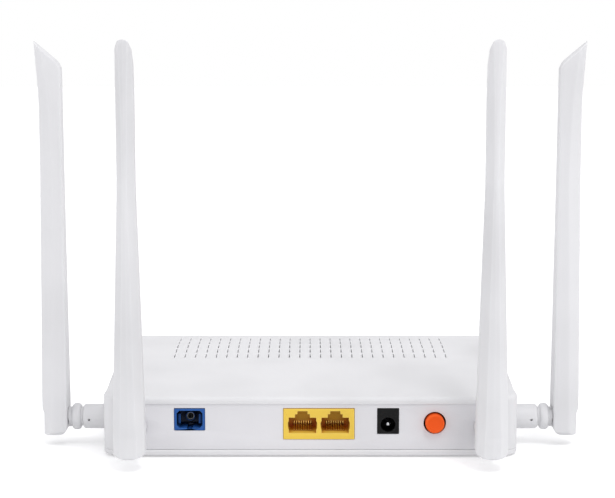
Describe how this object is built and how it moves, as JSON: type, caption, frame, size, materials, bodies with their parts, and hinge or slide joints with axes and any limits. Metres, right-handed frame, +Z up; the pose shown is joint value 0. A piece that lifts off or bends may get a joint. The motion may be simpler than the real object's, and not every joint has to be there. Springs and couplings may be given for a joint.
{
  "type": "optical network terminal",
  "caption": "Desktop optical network terminal: vented white case with fibre, network and power ports, orange button and hinged swivelling antennas.",
  "frame": {"origin": "on the table under the middle of the case's footprint, at the underside of the rubber feet", "axes": "+Z up, ports face -Y, indicators face +Y, +X to the right when looking at the ports"},
  "size_m": [0.2374, 0.1494, 0.1779],
  "materials": {
    "shell": "fine moulded texture",
    "panel": "fine moulded texture",
    "antenna": "satin moulded",
    "rubber": "matte",
    "steel": "bright",
    "board": "solder mask over glass fibre",
    "chip": "matte",
    "heat_sink": "anodised",
    "capacitor": "sleeved can",
    "gold": "gold plated",
    "clear": "clear moulded",
    "fibre_blue": "moulded",
    "ceramic": "smooth",
    "jack_yellow": "moulded",
    "jack_black": "moulded",
    "button_orange": "semi-gloss moulded",
    "cable": "smooth jacket",
    "brass": "turned"
  },
  "bodies": {
    "case": {"top_cover": "shell", "rear_panel": "panel", "bottom_shell": "shell", "rubber_feet": "rubber", "case_screws": "steel", "board_screws": "steel", "main_board": "board", "chips": "chip", "shield_cans": "steel", "heat_sink": "heat_sink", "lan_transformers": "chip", "capacitors": "capacitor", "inductors": "chip", "cable_sockets": "gold", "led_lamps": "clear", "light_pipe": "clear", "sc_receptacle": "fibre_blue", "ferrule_sleeve": "ceramic", "optical_module": "steel", "lan_jack_housing": "jack_yellow", "lan_jack_contacts": "gold", "dc_jack_housing": "jack_black", "dc_jack_pin": "steel", "power_switch_body": "jack_black", "reset_switch_body": "jack_black", "rear_left_socket": "antenna", "rear_left_coax": "cable", "rear_right_socket": "antenna", "rear_right_coax": "cable", "side_left_socket": "antenna", "side_left_coax": "cable", "side_right_socket": "antenna", "side_right_coax": "cable"},
    "power_button": {"power_button": "button_orange", "power_switch_plunger": "ceramic"},
    "reset_button": {"reset_plunger": "ceramic"},
    "rear_left_knuckle": {"rear_left_knuckle": "antenna"},
    "rear_left_antenna": {"rear_left_pin": "steel", "rear_left_blade": "antenna", "rear_left_radiator": "brass"},
    "rear_right_knuckle": {"rear_right_knuckle": "antenna"},
    "rear_right_antenna": {"rear_right_pin": "steel", "rear_right_blade": "antenna", "rear_right_radiator": "brass"},
    "side_left_knuckle": {"side_left_knuckle": "antenna"},
    "side_left_antenna": {"side_left_pin": "steel", "side_left_blade": "antenna", "side_left_radiator": "brass"},
    "side_right_knuckle": {"side_right_knuckle": "antenna"},
    "side_right_antenna": {"side_right_pin": "steel", "side_right_blade": "antenna", "side_right_radiator": "brass"}
  },
  "joints": [
    {"name": "power_button_press", "type": "slide", "parent": "case", "child": "power_button", "axis": [0, 1, 0], "range_m": [0, 0.0025]},
    {"name": "reset_press", "type": "slide", "parent": "case", "child": "reset_button", "axis": [0, 0, 1], "range_m": [0, 0.00025]},
    {"name": "rear_left_swivel", "type": "hinge", "parent": "case", "child": "rear_left_knuckle", "pos_m": [-0.075, -0.0594, 0.0136], "axis": [0, 1, 0], "range_deg": [-90, 45]},
    {"name": "rear_left_tilt", "type": "hinge", "parent": "rear_left_knuckle", "child": "rear_left_antenna", "pos_m": [-0.075, -0.08275, 0.0116], "axis": [1, 0, 0], "range_deg": [0, 90]},
    {"name": "rear_right_swivel", "type": "hinge", "parent": "case", "child": "rear_right_knuckle", "pos_m": [0.075, -0.0594, 0.0136], "axis": [0, 1, 0], "range_deg": [-45, 90]},
    {"name": "rear_right_tilt", "type": "hinge", "parent": "rear_right_knuckle", "child": "rear_right_antenna", "pos_m": [0.075, -0.08275, 0.0116], "axis": [1, 0, 0], "range_deg": [0, 90]},
    {"name": "side_left_swivel", "type": "hinge", "parent": "case", "child": "side_left_knuckle", "pos_m": [-0.08875, -0.0345, 0.0123], "axis": [1, 0, 0], "range_deg": [-90, 90]},
    {"name": "side_left_tilt", "type": "hinge", "parent": "side_left_knuckle", "child": "side_left_antenna", "pos_m": [-0.1121, -0.0345, 0.0103], "axis": [0, -1, 0], "range_deg": [0, 90]},
    {"name": "side_right_swivel", "type": "hinge", "parent": "case", "child": "side_right_knuckle", "pos_m": [0.08875, -0.0345, 0.0123], "axis": [1, 0, 0], "range_deg": [-90, 90]},
    {"name": "side_right_tilt", "type": "hinge", "parent": "side_right_knuckle", "child": "side_right_antenna", "pos_m": [0.1121, -0.0345, 0.0103], "axis": [0, 1, 0], "range_deg": [0, 90]}
  ]
}
